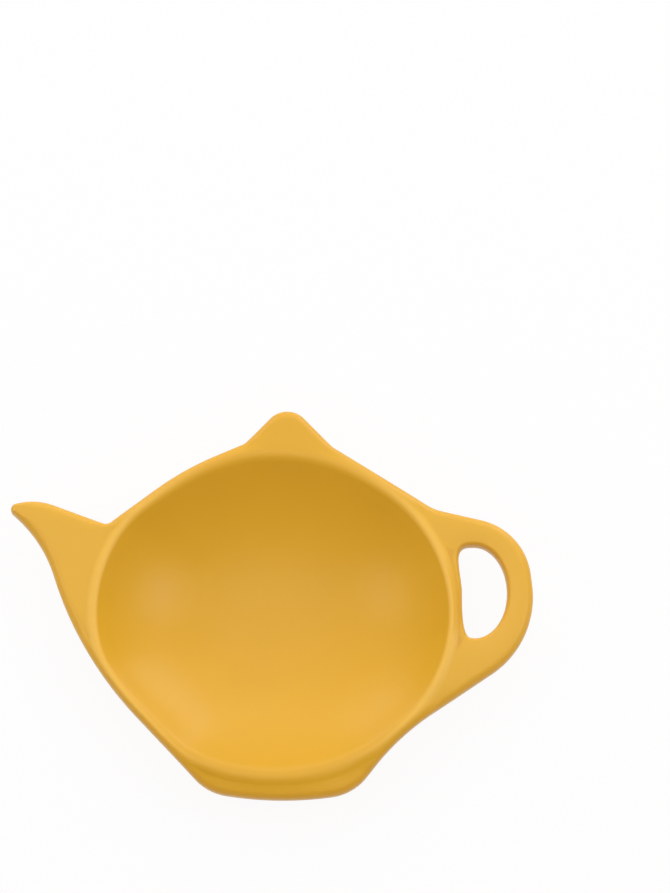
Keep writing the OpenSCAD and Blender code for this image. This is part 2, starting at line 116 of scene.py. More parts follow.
# Rows of the skin in the order in which they are drawn: turns in degrees, and shares
EDGE_TURNS = (90.0, 75.0, 60.0, 45.0, 30.0, 15.0, 0.0)
FLAT_PARTS = (2, 1, 0)
SLIT_PART = 1  # the part of the flat that the eye is cut along
CREASE_SHARES = tuple(k / 7 for k in range(7, 0, -1))
ROLL_SHARES = (0.0, 0.25, 0.5, 0.75)
WALL_SHARES = tuple(k / 16 for k in range(16, -1, -1))
FLOOR_SHARE = 0.5
UNDER_TURNS = (0.0, 30.0, 60.0, 90.0)
UNDER_SHARES = tuple(k / 8 for k in range(9))
EYE_TURNS = (0.0, 15.0, 30.0, 45.0, 60.0, 75.0, 90.0)
EYE_UNDER_TURNS = (0.0, 45.0, 90.0)

# Rows from the rim's ridge to the outline, to the cut along the flat, and to the eye's wall
RIM_ROWS = len(CREASE_SHARES) + len(FLAT_PARTS) + len(EDGE_TURNS)
SLIT_ROWS = len(CREASE_SHARES) + 1 + SLIT_PART
EYE_ROWS = SLIT_ROWS + len(EYE_TURNS) - 1

# Foot
FOOT_EASE = 0.15 * MM  # small flats that break the edges of the foot ring
WELL_SHARE = 0.6  # share of the foot ring's inner radius at which the clay's last row lies
WELL_SIDES = 96  # sides of the round glaze inside the foot ring
HEM_SHARE = 0.6  # share of the glaze's thickness that its hem rounds off
HEM_SEGMENTS = 3

# Patterns in the finishes: scale per metre, detail and roughness of a noise
GLAZE_CLOUDS = (55.0, 3.0, 0.5)
GLAZE_GRAINS = (1900.0, 2.0, 0.6)
GLAZE_PEEL = (420.0, 2.0, 0.45)
CLAY_CLOUDS = (300.0, 4.0, 0.6)
CLAY_GRAINS = (2600.0, 3.0, 0.7)

# Bounds between which a finish changes, and what it changes between
POOLING = (120.0, 700.0)  # hollowness over which the glaze pools
THINNING = (-60.0, -320.0)  # hollowness of an edge over which it runs thin
PAINTED_LIGHT_BOUNDS = (0.0, 0.8)  # noted painted light over which the glaze takes on the ridge's paler colour
CLOUDING = (0.3, 0.7)  # noise that makes clouds
GLAZE_TONES = (0.985, 1.015)  # brightness in the clouds
CLAY_TONES = (0.93, 1.07)
SPECKLING, SPECK_AMOUNTS = (0.735, 0.80), (0.0, 0.35)  # noise that makes specks, and their strength
GRAINING, GROG_AMOUNTS = (0.6, 0.75), (0.0, 0.6)  # noise that makes grains of grog, and their strength
SHEEN_SPREAD = 0.03  # change of the glaze's roughness in the clouds, up and down
LEAST_SQUARE = 1e-12  # square of the shortest edge that hollowness is measured along
GLAZE_NAME = "satin_yellow_glaze"
GLAZE_IOR = 1.5
BUMP_DEPTH = 0.2 * MM
GLAZE_BUMP, CLAY_BUMP = 0.06, 0.4
CLAY_ROUGHNESS = 0.85

# Lamps: place round the saucer and width in metres, and power in watts
LAMPS = (
    ("top_softbox", (0.0, 0.1, 1.6), 1.2, 4.40),
    ("back_softbox", (0.0, 0.75, 0.95), 0.8, 1.65),
    ("low_back_softbox", (0.0, 1.05, 0.45), 0.8, 1.53),
    ("left_back_softbox", (-0.65, 0.6, 0.7), 0.6, 0.58),
    ("right_back_softbox", (0.65, 0.6, 0.7), 0.6, 0.81),
    ("left_softbox", (-0.72, 0.0, 0.86), 0.3, 1.21),
    ("right_softbox", (0.72, 0.0, 0.86), 0.3, 1.38),
    ("left_corner_softbox", (-0.58, 0.88, 0.36), 0.35, 1.28),
    ("right_corner_softbox", (0.58, 0.88, 0.36), 0.35, 1.84),
)

Corner = namedtuple("Corner", "place radius step fall run")


# Sizes and finishes

def length(name, description, default):
    return FloatProperty(
        name=name, description=description, default=default, min=0.0, unit="LENGTH", subtype="DISTANCE")


def angle(name, description, degrees):
    return FloatProperty(name=name, description=description, default=math.radians(degrees), subtype="ANGLE")


def factor(name, description, default):
    return FloatProperty(
        name=name, description=description, default=default, min=0.0, max=1.0, subtype="FACTOR")


def ratio(name, description, default):
    return FloatProperty(name=name, description=description, default=default)


def colour(name, description, default):
    return FloatVectorProperty(
        name=name, description=description, default=default, size=3, min=0.0, max=1.0, subtype="COLOR")


class BowlSizes(bpy.types.PropertyGroup):
    rim_half_length: length("Rim half length", "Half length of the oval rim, spout to handle", 43.0 * MM)
    rim_half_width: length("Rim half width", "Half width of the oval rim, base to knob", 39.4 * MM)
    rim_height: length("Rim height", "Height of the rim's ridge above the table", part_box("outer_glaze")[1].z)
    floor_height: length("Floor height", "Height of the bowl's floor above the table", 4.8 * MM)
    floor_half_length: length("Floor half length", "Half length of the bowl's flat floor", 3.6 * MM)
    floor_half_width: length("Floor half width", "Half width of the bowl's flat floor", 3.2 * MM)
    wall_slope: angle("Wall slope", "Slope of the wall just under the rim", 40.0)
    roll_radius: length("Roll radius", "Radius of the rim's inner roll by the knob and the base", 3.8 * MM)
    side_roll: length("Side roll", "Radius of that roll by the spout and the handle", 1.8 * MM)
    lip: length("Lip", "Least width from the rim's ridge to the outline", 1.3 * MM)


class FlangeSizes(bpy.types.PropertyGroup):
    thickness: length("Thickness", "Thickness of the flange", 5.0 * MM)
    edge_radius: length("Edge radius", "Radius of the flange's upper edge", 2.0 * MM)
    under_radius: length("Under radius", "Radius of the flange's lower edge", 1.2 * MM)
    crease_width: length("Crease width", "Least width of the rim's outer roll, ridge to crease", 0.6 * MM)
    crease_spread: ratio("Crease spread", "Width that this roll gains with its depth", 3.2)
    soft_step: length("Soft step", "Depth up to which this roll melts into the flange", 0.4 * MM)
    parting_width: length("Parting width", "Width over which the flange parts from the rim", 3.5 * MM)


class EyeSizes(bpy.types.PropertyGroup):
    height: length("Height", "Height of the handle's eye, along the handle", 22.4 * MM)
    flat_width: length("Flat width", "Width of the side that faces the bowl", 2.95 * MM)
    round_width: length("Round width", "Width of the side that faces the handle's bar", 7.9 * MM)
    gap: length("Gap", "Distance from the rim's outermost point to the eye", 2.25 * MM)
    offset: length("Offset", "Offset of the eye's middle from the bowl's centre", 5.4 * MM)
    squareness: ratio("Squareness", "Squareness of the side that faces the bowl", 3.2)
    lean: length("Lean", "Lean of the side that faces the bowl towards it, at the far end", 2.1 * MM)
    edge_radius: length("Edge radius", "Radius of the eye's upper edge", 1.0 * MM)


class FootSizes(bpy.types.PropertyGroup):
    under_height: length("Under height", "Height of the glazed underside above the table", 1.2 * MM)
    radius: length("Radius", "Outer radius of the dry foot ring", 24.0 * MM)
    width: length("Width", "Width of the foot ring where it stands", 3.2 * MM)
    flare: length("Flare", "Width that the foot ring gains on each side towards the clay", 0.4 * MM)
    dry_band: length("Dry band", "Dry clay left between the foot ring and the glaze", 0.6 * MM)
    under_slope: angle("Under slope", "Slope of the bowl's outer wall under the flange", 52.0)
    under_set: length("Under set", "Distance from the ridge in to the top of the outer wall", 0.4 * MM)
    glaze_thickness: length("Glaze thickness", "Thickness of the glaze", 0.4 * MM)


class Finishes(bpy.types.PropertyGroup):
    glaze: colour("Glaze", "Glaze of even thickness", (0.72, 0.394, 0.008))
    pooled: colour("Pooled glaze", "Glaze that has pooled in a hollow", (0.66, 0.31, 0.006))
    thin: colour("Thin glaze", "Glaze that has run thin on an edge", (0.75, 0.40, 0.02))
    # Painted highlight and painted light: the rim's ridge on the saucer's two sides, and more faintly the
    # flange, take this paler colour where the lamps light them.
    ridge: colour("Ridge glaze", "Glaze on the rim's ridge, where it is thinnest", (0.84, 0.50, 0.06))
    speck: colour("Speck", "Fine specks in the glaze", (0.45, 0.20, 0.02))
    roughness: factor("Roughness", "Roughness of the satin glaze", 0.38)
    clay: colour("Clay", "Bare fired clay", (0.72, 0.64, 0.52))
    grog: colour("Grog", "Coarse grains in the clay", (0.42, 0.33, 0.24))


class StageSizes(bpy.types.PropertyGroup):
    elevation: angle("Elevation", "Height of the camera above the table, seen from the saucer", 80.0)
    distance: length("Distance", "Distance of the camera from the saucer", 1.2)
    frame_height: length("Frame height", "Height of the frame at the saucer", 213.4 * MM)
    aside: length("Aside", "Middle of the frame, from the bowl's centre towards the handle", 14.8 * MM)
    beyond: length("Beyond", "Middle of the frame, from the bowl's centre towards the knob", 40.5 * MM)
    floor_size: length("Floor size", "Size of the studio floor", 6.0)
    floor: colour("Floor", "Pale studio floor", (0.90, 0.90, 0.90))
    floor_lift: factor("Floor lift", "Share of pure white in the floor that the camera sees", 0.93)
    air: colour("Air", "Light that comes from all round", (1.0, 0.87, 0.80))
    air_strength: factor("Air strength", "Strength of the light from all round", 0.46)


# Small tools

def mix(a, b, t):
    return a + (b - a) * t


def smooth(t):
    t = min(1.0, max(0.0, t))
    return t * t * (3.0 - 2.0 * t)


def heading(bearing):
    return Vector((math.cos(bearing), math.sin(bearing)))


def at_height(place, z):
    return Vector((place.x, place.y, z))


def bezier(a, b, c, t):
    return mix(mix(a, b, t), mix(b, c, t), t)


def widening(limits, places, growth):
    """Widths that keep to the limit at each place and grow no faster than growth between two places."""
    limited = list(zip(limits, places))
    return [min(limit + growth * (place - other).length for limit, other in limited) for place in places]


def each_once(items):
    """The items in their order, each of them once."""
    return list(dict.fromkeys(items))


def verts_of(geometry):
    return [g for g in geometry if isinstance(g, bmesh.types.BMVert)]


# Outline

def oval_radius(bearing, half_length, half_width):
    return 1.0 / math.hypot(math.cos(bearing) / half_length, math.sin(bearing) / half_width)


def rim_radius(bowl, bearing):
    return oval_radius(bearing, bowl.rim_half_length, bowl.rim_half_width)


def floor_radius(bowl, bearing):
    return oval_radius(bearing, bowl.floor_half_length, bowl.floor_half_width)


def outline_corners(bowl):
    corners = []
    for degrees, out, radius, step, fall, run in OUTLINE:
        bearing = math.radians(degrees)
        place = heading(bearing) * (rim_radius(bowl, bearing) + out * MM)
        corners.append(Corner(place, radius * MM, step * MM, fall * MM, run * MM))
    return corners


def trace_outline(bm, corners):
    """Draws the outline flat round the bowl's centre as a pen would: an arc at each corner, then a straight
    run. Gives back its vertices in order."""
    count = len(corners)
    ahead = [corners[(i + 1) % count].place - corners[i].place for i in range(count)]
    back = [-ahead[i - 1].normalized() for i in range(count)]
    on = [edge.normalized() for edge in ahead]
    half = [math.acos(back[i].dot(on[i])) / 2 for i in range(count)]
    wanted = [corners[i].radius / math.tan(half[i]) for i in range(count)]
    room = [
        min(1.0, FILLET_ROOM * ahead[i].length / (wanted[i] + wanted[(i + 1) % count]))
        for i in range(count)]
    trim = [wanted[i] * min(room[i - 1], room[i]) for i in range(count)]
    pen = start = bm.verts.new(at_height(corners[0].place + back[0] * trim[0], 0.0))
    for i, corner in enumerate(corners):
        radius = trim[i] * math.tan(half[i])
        centre = corner.place + (back[i] + on[i]).normalized() * (radius / math.sin(half[i]))
        sweep = math.pi - 2 * half[i]
        side = 1 if (-back[i]).cross(on[i]) > 0 else -1
        steps = max(math.ceil(sweep / ARC_STEP), math.ceil(radius * sweep / corner.run), ARC_LEAST_STEPS)
        spun = bmesh.ops.spin(
            bm, geom=[pen], cent=at_height(centre, 0.0), axis=(0, 0, 1), angle=side * sweep, steps=steps)
        pen = verts_of(spun["geom_last"])[0]
        j = (i + 1) % count
        left, reached = pen.co.copy(), at_height(corners[j].place + back[j] * trim[j], 0.0)
        runs = math.ceil((reached - left).length / max(corner.run, corners[j].run))
        for k in range(runs):
            pen = bmesh.ops.extrude_vert_indiv(bm, verts=[pen])["verts"][0]
            pen.co = mix(left, reached, (k + 1) / runs)
    bmesh.ops.weld_verts(bm, targetmap={pen: start})
    return walk(start)


def walk(start):
    """The outline's vertices in order, counter-clockwise from the first."""
    def bearing(edge):
        co = edge.other_vert(start).co
        return math.atan2(co.y, co.x)
    ring, edge = [start], max(start.link_edges, key=bearing)
    while edge.other_vert(ring[-1]) is not start:
        ring.append(edge.other_vert(ring[-1]))
        edge = next(e for e in ring[-1].link_edges if e is not edge)
    return ring


# Plan of the saucer

class Plan:
    """The columns round the outline, and how the rim, the flange and the eye lie in each."""

    def __init__(self, scene):
        self.bowl, self.flange = scene.saucer_bowl, scene.saucer_flange
        self.eye, self.foot = scene.saucer_eye, scene.saucer_foot
        self.corners = outline_corners(self.bowl)
        bm = bmesh.new()
        self.edge = [vert.co.xy for vert in trace_outline(bm, self.corners)]
        bm.free()
        self.columns = range(len(self.edge))
        self.facing = [math.atan2(p.y, p.x) for p in self.edge]
        self.bearing = self.spread_rays()
        self.measure_outline()
        self.measure_eye()
        self.measure_flange()

    def nearest(self, corner):
        """The column nearest to a corner of the outline."""
        return min(self.columns, key=lambda i: (self.edge[i] - self.corners[corner].place).length)

    def spread_rays(self):
        """Bearing of each column's foot on the ridge. The spout's edges run almost straight out from the
        bowl, so there the feet are spread over the ridge by the length of the edge."""
        rays = [bearing % math.tau for bearing in self.facing]
        notch, tip, belly = (self.nearest(corner) for corner in (NOTCH, TIP, BELLY))
        fan = mix(rays[notch], rays[belly], SPOUT_FAN)
        for first, last, start, end in ((notch, tip, rays[notch], fan), (tip, belly, fan, rays[belly])):
            runs = [(self.edge[i + 1] - self.edge[i]).length for i in range(first, last)]
            for i in range(first, last + 1):
                rays[i] = mix(start, end, sum(runs[:i - first]) / sum(runs))
        eased = range(notch - SPOUT_EASING, belly + SPOUT_EASING)
        for _ in range(SPOUT_EASING):
            rays[eased.start:eased.stop] = [(rays[i - 1] + 2 * rays[i] + rays[i + 1]) / 4 for i in eased]
        self.spout = range(notch + 1, belly)
        return rays

    def measure_outline(self):
        """Outward normal, bend radius, step and fall of each column."""
        count = len(self.edge)
        self.normal, self.bend, self.step, self.fall = [], [], [], []
        turns = [math.atan2(c.place.y, c.place.x) % math.tau for c in self.corners]
        for i, place in enumerate(self.edge):
            came, goes = place - self.edge[i - 1], self.edge[(i + 1) % count] - place
            turn = abs(came.angle_signed(goes))
            self.bend.append((came.length + goes.length) / 2 / max(turn, LEAST_TURN))
            along = (came.normalized() + goes.normalized()).normalized()
            self.normal.append(Vector((along.y, -along.x)))
            bearing = self.facing[i] % math.tau
            passed = min(range(len(turns)), key=lambda k: (bearing - turns[k]) % math.tau)
            here, there = self.corners[passed], self.corners[(passed + 1) % len(turns)]
            side = there.place - here.place
            share = smooth((place - here.place).dot(side) / side.length_squared)
            self.step.append(mix(here.step, there.step, share))
            self.fall.append(mix(here.fall, there.fall, share))

    def measure_eye(self):
        """The columns that the eye parts. Those that close round its ends stand clear of its edge."""
        eye = self.eye
        self.flat_x = self.bowl.rim_half_length + eye.gap
        self.ends_x = self.flat_x + eye.flat_width
        reach = eye.height / 2 + EYE_CLEARANCE * eye.edge_radius
        low = math.atan2(eye.offset - reach, self.flat_x)
        high = math.atan2(eye.offset + reach, self.flat_x)
        self.eye_first = next(i for i in self.columns if self.facing[i] > low) - 1
        self.eye_last = next(i for i in self.columns if i > self.eye_first and self.facing[i] >= high)

    def measure_flange(self):
        """The rim's ridge, the width of flange outside it, how far the flange has parted from the rim, and
        the widths of its rounded edge and of the rim's outer roll."""
        bowl, flange = self.bowl, self.flange
        self.ridge_gap, self.ridge_radius, straight_gap = [], [], []
        for i in self.columns:
            wide = self.edge[i].length - rim_radius(bowl, self.facing[i])
            pull = (bowl.lip - wide + math.hypot(wide - bowl.lip, LIP_SOFTNESS)) / 2
            self.ridge_radius.append(rim_radius(bowl, self.bearing[i]) - pull)
            self.ridge_gap.append((self.edge[i] - self.ridge(i)).length)
            straight_gap.append(min(wide + pull, self.ridge_gap[i]))
        self.flange_gap = [
            (self.eye_spot(i, BOWL_SIDE)[0] - self.ridge(i)).length if self.in_eye(i) else self.ridge_gap[i]
            for i in self.columns]
        self.parted = [smooth((gap - bowl.lip) / flange.parting_width) for gap in self.flange_gap]
        faced_gap = [straight_gap[self.faced(i)] for i in self.columns]
        self.narrow_gap = [min(gaps) for gaps in zip(straight_gap, faced_gap)]
        edge_limit = [
            min(flange.edge_radius, straight_gap[i] * EDGE_SHARE, self.bend[i] * CORNER_SHARE,
                self.across(i) * TONGUE_SHARE)
            for i in self.columns]
        self.edge_width = widening(edge_limit, self.edge, EDGE_GROWTH)
        crease_limit = [
            min(flange.crease_width + flange.crease_spread * self.step[i],
                CREASE_SHARE * min(self.flange_gap[i], faced_gap[i]))
            for i in self.columns]
        self.crease_reach = widening(crease_limit, [self.ridge(i) for i in self.columns], CREASE_GROWTH)

    # Places in plan

    def on_ray(self, i, radius):
        return heading(self.bearing[i]) * radius

    def ridge(self, i):
        return self.on_ray(i, self.ridge_radius[i])

    def inset(self, i, deep):
        return self.edge[i] - self.normal[i] * deep

    def faced(self, i):
        """The column whose point on the outline lies straight out from the foot of this one."""
        ray = heading(self.bearing[i])
        return max(self.columns, key=lambda j: heading(self.facing[j]).dot(ray))

    def across(self, i):
        """Distance from the outline to the nearest stretch of it that faces the other way."""
        return min(
            (self.edge[i] - self.edge[j]).length for j in self.columns
            if self.normal[i].dot(self.normal[j]) < FACING_AWAY)

    def in_eye(self, i):
        return self.eye_first <= i <= self.eye_last

    def eye_rise(self, i):
        """Rise of the eye's point in a column, from -1 to 1 between its ends."""
        def meeting(k):
            return (self.flat_x * math.tan(self.bearing[k]) - self.eye.offset) * 2 / self.eye.height
        met = meeting(i)
        reach = abs(meeting(self.eye_last if met > 0 else self.eye_first))
        power = EYE_CROWDING * reach / (reach - 1)
        return met - math.copysign((reach - 1) * (abs(met) / reach) ** power, met)

    def eye_spot(self, i, side):
        """Place on the eye's line, on the bowl's or the handle bar's side, and the way out of the eye."""
        eye, rise = self.eye, self.eye_rise(i)
        if side == BOWL_SIDE:
            width, power, lean = -eye.flat_width, eye.squareness, eye.lean * max(rise, 0.0) ** LEAN_POWER
        else:
            width, power, lean = eye.round_width, ROUND_POWER, 0.0
        half = eye.height / 2
        across = max(0.0, 1 - abs(rise) ** power) ** (1 / power)
        place = Vector((self.ends_x + width * across - lean * across, eye.offset + half * rise))
        out = Vector((across ** (power - 1) / width, math.copysign(abs(rise) ** (power - 1) / half, rise)))
        return place, out.normalized()

    # Levels

    def sharpness(self, i):
        """0 where the rim's outer roll melts into the flange, and 1 where it ends in a sharp crease."""
        return smooth(SHARPENING * (self.step[i] / self.flange.soft_step - 1))

    def crease_level(self, i):
        return self.bowl.rim_height - self.step[i] * self.parted[i]

    def inner_level(self, i):
        return self.bowl.rim_height - (self.step[i] + self.fall[i]) * self.parted[i]

    def outer_level(self, i):
        if self.eye_first < i < self.eye_last:
            return self.bowl.rim_height - self.step[i] - self.fall[i]
        return self.inner_level(i)

    # Points of the skin that lies deep under the glaze's surface

    def roll_radius(self, i):
        return mix(self.bowl.side_roll, self.bowl.roll_radius, math.sin(self.bearing[i]) ** 2)

    def wall(self, i, t, deep):
        bowl, radius = self.bowl, self.roll_radius(i)
        run = radius * math.sin(bowl.wall_slope)
        top = bowl.rim_height - radius * (1 - math.cos(bowl.wall_slope))
        bend = run + (top - bowl.floor_height) / math.tan(bowl.wall_slope)
        rim = rim_radius(bowl, self.bearing[i])
        foot = Vector((rim - floor_radius(bowl, self.bearing[i]), bowl.floor_height))
        p = bezier(foot, Vector((bend, bowl.floor_height)), Vector((run, top)), t)
        outer = mix(rim, self.ridge_radius[i], t)
        return at_height(self.on_ray(i, outer - p.x), p.y - deep)

    def floor(self, i, share, deep):
        edge = self.wall(i, 0.0, deep)
        return Vector((edge.x * share, edge.y * share, edge.z))

    def roll(self, i, share, deep):
        slope, radius = self.bowl.wall_slope * share, self.roll_radius(i)
        return at_height(
            self.on_ray(i, self.ridge_radius[i] - radius * math.sin(slope)),
            self.bowl.rim_height - radius * (1 - math.cos(slope)) - deep)

    def blended(self, i, rank, point, deep):
        """A point of the flange, rank rows out from the ridge. Where no flange has parted from the rim, the
        ridge rounds straight down to the outline or the eye instead."""
        if self.in_eye(i):
            place, out = self.eye_spot(i, BOWL_SIDE)
            end, rows = place + out * deep, EYE_ROWS
        else:
            end, rows = self.inset(i, deep), RIM_ROWS
        turn, radius = math.pi / 2 * rank / rows, self.flange.edge_radius
        bare = at_height(
            mix(self.ridge(i), end, math.sin(turn)),
            self.bowl.rim_height - radius + (radius - deep) * math.cos(turn))
        return mix(bare, point, self.parted[i])

    def crease(self, i, k, deep):
        share = CREASE_SHARES[k]
        drop = mix(smooth(share), share ** 2, self.sharpness(i))
        point = at_height(
            self.on_ray(i, self.ridge_radius[i] + self.crease_reach[i] * share),
            mix(self.bowl.rim_height, self.crease_level(i), drop) - deep)
        return self.blended(i, len(CREASE_SHARES) - k, point, deep)

    def split(self, i, part, deep):
        """Part 0 runs along the crease, 1 in the middle of the flat, and 2 along the rounded edge."""
        in_strip = self.in_eye(i) and part == 0
        wide = self.flange_gap[i] * EDGE_SHARE if in_strip else self.narrow_gap[i] - self.edge_width[i]
        flat = max(wide - self.crease_reach[i], LEAST_FLAT)
        margin = min(FLAT_MARGIN, FLAT_SHARE * self.edge_width[i] / flat) * flat
        near = self.on_ray(i, self.ridge_radius[i] + self.crease_reach[i] + margin)
        far = self.inset(i, self.edge_width[i] + margin)
        over = part / FLAT_PARTS[0]
        share = mix(margin / flat, 1 - margin / flat, over)
        level = mix(self.crease_level(i), self.outer_level(i), share)
        point = at_height(mix(near, far, over), level - deep)
        if self.in_eye(i) and part > 0:
            return point
        return self.blended(i, len(CREASE_SHARES) + 1 + part, point, deep)

    def rounded_edge(self, i, k, deep):
        width, radius = self.edge_width[i], self.flange.edge_radius
        flat = max(self.ridge_gap[i] - self.crease_reach[i] - width, LEAST_FALL_RUN)
        tilt = math.atan2(self.fall[i] * self.parted[i], flat)
        turn = mix(math.pi / 2, tilt, 1 - EDGE_TURNS[k] / EDGE_TURNS[0])
        point = at_height(
            self.inset(i, width - (width - deep) * math.sin(turn)),
            self.outer_level(i) - radius + (radius - deep) * math.cos(turn))
        return point if self.in_eye(i) else self.blended(i, RIM_ROWS - k, point, deep)

    def under_edge(self, i, k, deep):
        turn, radius = math.radians(UNDER_TURNS[k]), self.flange.under_radius
        width = min(radius, self.edge_width[i])
        return at_height(
            self.inset(i, width - (width - deep) * math.cos(turn)),
            self.outer_level(i) - self.flange.thickness + radius - (radius - deep) * math.sin(turn))

    def under_wall(self, i, t, deep):
        foot = self.foot
        level = self.inner_level(i) - self.flange.thickness
        slope = math.tan(foot.under_slope)
        drop = self.bowl.rim_height - self.flange.thickness - level
        top = Vector((self.ridge_radius[i] - foot.under_set - drop / slope, level))
        bend = Vector((top.x - (top.y - foot.under_height) / slope, foot.under_height))
        hem = Vector((foot.radius + foot.flare + foot.dry_band, foot.under_height))
        p = bezier(top, bend, hem, t)
        return at_height(self.on_ray(i, p.x), p.y + deep)

    def under_split(self, i, deep):
        return mix(self.under_edge(i, len(UNDER_TURNS) - 1, deep), self.under_wall(i, 0.0, deep), 0.5)

    def eye_room(self, i, side, radius):
        """Width for a rounded edge of the eye, and level of the flange beside it."""
        if side == BOWL_SIDE:
            return min(radius, EDGE_SHARE * self.flange_gap[i]), self.inner_level(i)
        return radius, self.outer_level(i)

    def eye_edge(self, i, side, degrees, deep):
        """Point of the eye's upper edge: 0 degrees is on top of the flange and 90 on the eye's wall."""
        place, out = self.eye_spot(i, side)
        width, level = self.eye_room(i, side, self.eye.edge_radius)
        radius, turn = self.flange.edge_radius, math.radians(degrees)
        point = at_height(
            place + out * (width - (width - deep) * math.sin(turn)),
            level - radius + (radius - deep) * math.cos(turn))
        if side == BAR_SIDE:
            return point
        rank = SLIT_ROWS + (EYE_ROWS - SLIT_ROWS) * degrees / EYE_TURNS[-1]
        return self.blended(i, rank, point, deep)

    def eye_under(self, i, side, degrees, deep):
        """Point of the eye's lower edge: 0 degrees is on the eye's wall and 90 under the flange."""
        place, out = self.eye_spot(i, side)
        radius, turn = self.flange.under_radius, math.radians(degrees)
        width, level = self.eye_room(i, side, radius)
        return at_height(
            place + out * (width - (width - deep) * math.cos(turn)),
            level - self.flange.thickness + radius - (radius - deep) * math.sin(turn))


# Skin

def lay_row(bm, loop, place):
    """Extrudes a closed loop of edges once and sets each new vertex where place puts it."""
    grown = bmesh.ops.extrude_edge_only(bm, edges=loop)["geom"]
    for vert in verts_of(grown):
        vert.co = place(vert)
    return [g for g in grown if isinstance(g, bmesh.types.BMEdge) and g.is_boundary]


def mark_thin(bm, plan, loop, value, in_strip=False):
    """Notes along a row how much painted light the glaze takes: most on the saucer's two sides, where the
    rim's roll is narrow and the side lamps put a highlight on it.
    The strip between rim and eye takes less of it where that strip is narrow, which leaves it darker, as
    painted shade."""
    column, thin = bm.verts.layers.int["column"], bm.verts.layers.float["thin"]
    for vert in each_once(vert for edge in loop for vert in edge.verts):
        i = vert[column]
        held = plan.parted[i] if in_strip and plan.in_eye(i) else 1.0
        vert[thin] = value * held * math.cos(plan.bearing[i]) ** 2


def draw_skin(bm, plan, deep):
    """Draws the skin from the outline over the rim into the bowl, and round the edge to the foot, and opens
    the handle's eye in it. Gives back the loop of edges that it ends in at the foot."""
    column = bm.verts.layers.int.get("column") or bm.verts.layers.int.new("column")
    if "thin" not in bm.verts.layers.float:
        bm.verts.layers.float.new("thin")
    ring = trace_outline(bm, plan.corners)
    for i, vert in enumerate(ring):
        vert[column] = i
        vert.co = plan.rounded_edge(i, 0, deep)
    outline = each_once(edge for vert in ring for edge in vert.link_edges)

    def laid(loop, point, *place):
        return lay_row(bm, loop, lambda vert: point(vert[column], *place, deep))

    loop = outline
    # Each row notes the painted light that it takes: some on the flange and its edge, a full painted highlight
    # on the rim's ridge, fading over the roll, and none in the bowl.
    for k in range(1, len(EDGE_TURNS)):
        loop = laid(loop, plan.rounded_edge, k)
        mark_thin(bm, plan, loop, FLANGE_PAINTED_LIGHT)
    for part in FLAT_PARTS:
        loop = laid(loop, plan.split, part)
        mark_thin(bm, plan, loop, FLANGE_PAINTED_LIGHT)
        if part == SLIT_PART:
            top = loop
    for k, share in enumerate(CREASE_SHARES):
        loop = laid(loop, plan.crease, k)
        mark_thin(bm, plan, loop, mix(1.0, FLANGE_PAINTED_LIGHT, share), in_strip=True)
    for share in ROLL_SHARES:
        loop = laid(loop, plan.roll, share)
        mark_thin(bm, plan, loop, 1 - share)
    for t in WALL_SHARES:
        loop = laid(loop, plan.wall, t)
        mark_thin(bm, plan, loop, 0.0)
    loop = laid(loop, plan.floor, FLOOR_SHARE)
    bmesh.ops.edgeloop_fill(bm, edges=loop)

    loop = outline
    for k in range(len(UNDER_TURNS)):
        loop = laid(loop, plan.under_edge, k)
    loop = under = laid(loop, plan.under_split)
    for t in UNDER_SHARES:
        loop = laid(loop, plan.under_wall, t)
    top, under = (flatten_spout(bm, plan, row) for row in (top, under))
    open_eye(bm, plan, top, under, deep)
    return loop


def flatten_spout(bm, plan, row):
    """Clears the strips on both sides of a row from the spout and fills their place as one face, cut into
    even triangles. Gives back the rest of the row."""
    column = bm.verts.layers.int["column"]
    wide = [i for i in plan.spout if plan.narrow_gap[i] > SPOUT_FLAT]
    stretch = [e for e in row if all(v[column] in wide for v in e.verts)]
    rest = [e for e in row if e not in stretch]
    strips = each_once(face for edge in stretch for face in edge.link_faces)
    bounds = [e for face in strips for e in face.edges if sum(f in strips for f in e.link_faces) == 1]
    bmesh.ops.delete(bm, geom=strips, context="FACES")
    filled = bmesh.ops.edgeloop_fill(bm, edges=bounds)
    bmesh.ops.triangulate(bm, faces=filled["faces"], ngon_method="BEAUTY")
    return rest


def slit(bm, plan, row):
    """Cuts the skin along the eye's stretch of a row. Gives back the cut's vertices, each with its side."""
    column = bm.verts.layers.int["column"]
    stretch = [e for e in row if all(plan.in_eye(v[column]) for v in e.verts)]
    marks = {}
    for edge in bmesh.ops.split_edges(bm, edges=stretch)["edges"]:
        middle = edge.link_faces[0].calc_center_median().xy
        for vert in edge.verts:
            marks[vert] = BOWL_SIDE if middle.length < vert.co.xy.length else BAR_SIDE
    return marks


def open_eye(bm, plan, top, under, deep):
    """Slits the flange's top and underside, spreads both slits to the eye's line, and lines the eye."""
    column = bm.verts.layers.int["column"]
    side = bm.verts.layers.int.get("side") or bm.verts.layers.int.new("side")
    loops = []
    slits = ((top, plan.eye_edge, EYE_TURNS[0]), (under, plan.eye_under, EYE_UNDER_TURNS[-1]))
    for row, point, turn in slits:
        marks = slit(bm, plan, row)
        for vert, mark in marks.items():
            vert[side] = mark
            vert.co = point(vert[column], mark, turn, deep)
        loops.append(each_once(e for v in marks for e in v.link_edges if e.is_boundary))
    lining, lower = loops
    for point, turns in ((plan.eye_edge, EYE_TURNS[1:]), (plan.eye_under, EYE_UNDER_TURNS[:-1])):
        for turn in turns:
            lining = lay_row(bm, lining, lambda vert: point(vert[column], vert[side], turn, deep))
    bmesh.ops.bridge_loops(bm, edges=lining + lower)


def new_object(bm, name, material):
    """Makes an object of a bmesh, which it frees."""
    mesh = bpy.data.meshes.new(name)
    bm.to_mesh(mesh)
    bm.free()
    mesh.materials.append(material)
    made = bpy.data.objects.new(name, mesh)
    bpy.context.scene.collection.objects.link(made)
    return made


